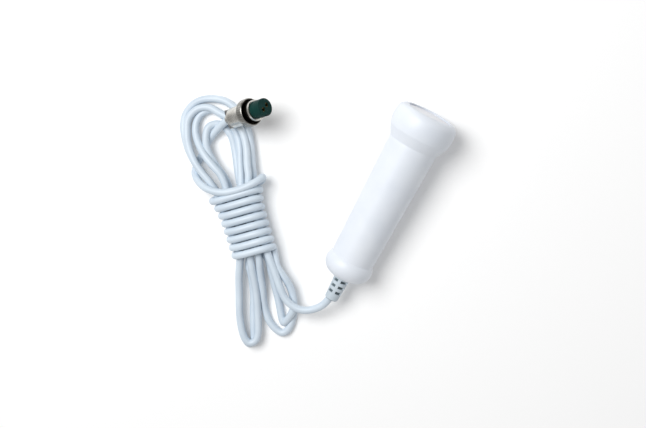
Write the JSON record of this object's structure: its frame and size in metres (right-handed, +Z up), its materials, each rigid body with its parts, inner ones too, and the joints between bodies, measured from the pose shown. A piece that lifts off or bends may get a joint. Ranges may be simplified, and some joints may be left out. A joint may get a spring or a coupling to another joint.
{
  "type": "nurse call cord",
  "caption": "White hand-held call button, a tapered tube with a flared head, on a light cord tied in a hank that ends in a round metal plug with a knurled coupling ring.",
  "frame": {"origin": "the middle of the base of the handset's box, on the table it lies on, without the cord, its boot and the plug", "axes": "+Z up; +Y along the handset from its foot towards the push-button head; +X across the handset, away from the hank of cord"},
  "size_m": [0.1573, 0.1859, 0.0384],
  "materials": {
    "plug_nickel": "satin",
    "shell_plastic": "glossy",
    "inner_plastic": "satin",
    "screw_steel": "satin",
    "contact_brass": "satin",
    "cord_vinyl": "satin",
    "wire_red": "satin",
    "wire_white": "satin",
    "ring_nickel": "satin",
    "bush_rubber": "matte",
    "insert_green": "satin",
    "button_plastic": "glossy",
    "spring_steel": "satin",
    "boot_rubber": "satin",
    "switch_plastic": "satin"
  },
  "bodies": {
    "handset": {"back_shell": "plug_nickel", "bezel_ring": "shell_plastic", "clamp_bar": "inner_plastic", "clamp_saddle": "plug_nickel", "clamp_screw_1": "screw_steel", "clamp_screw_2": "screw_steel", "contact_1": "contact_brass", "contact_2": "contact_brass", "cord_entry": "cord_vinyl", "cord_hank": "cord_vinyl", "cord_lead": "cord_vinyl", "cord_tail": "cord_vinyl", "core_wire_1": "wire_red", "core_wire_2": "wire_white", "foot_cap": "shell_plastic", "grip_shell": "shell_plastic", "plug_barrel": "plug_nickel", "plug_bush": "bush_rubber", "plug_insert": "insert_green", "plug_wire_1": "wire_red", "plug_wire_2": "wire_white", "return_spring": "spring_steel", "ring_clip": "spring_steel", "saddle_screw_1": "screw_steel", "saddle_screw_2": "screw_steel", "strain_relief": "boot_rubber", "switch_body": "switch_plastic", "switch_carrier": "inner_plastic", "switch_screw_1": "screw_steel", "switch_screw_2": "screw_steel", "terminal_1": "contact_brass", "terminal_2": "contact_brass"},
    "button": {"push_button": "button_plastic", "switch_plunger": "inner_plastic"},
    "coupling_ring": {"coupling_ring": "ring_nickel"}
  },
  "joints": [
    {"name": "button_press", "type": "slide", "parent": "handset", "child": "button", "axis": [0, -0.9989, -0.0463], "range_m": [0, 0.002], "stiffness_N_per_m": 450, "springref_m": -0.002, "deforming": ["return_spring"]},
    {"name": "ring_turn", "type": "hinge", "parent": "handset", "child": "coupling_ring", "pos_m": [-0.09626, 0.00447, 0.0195], "axis": [0.6022, 0.5918, 0.5358], "continuous": true}
  ]
}
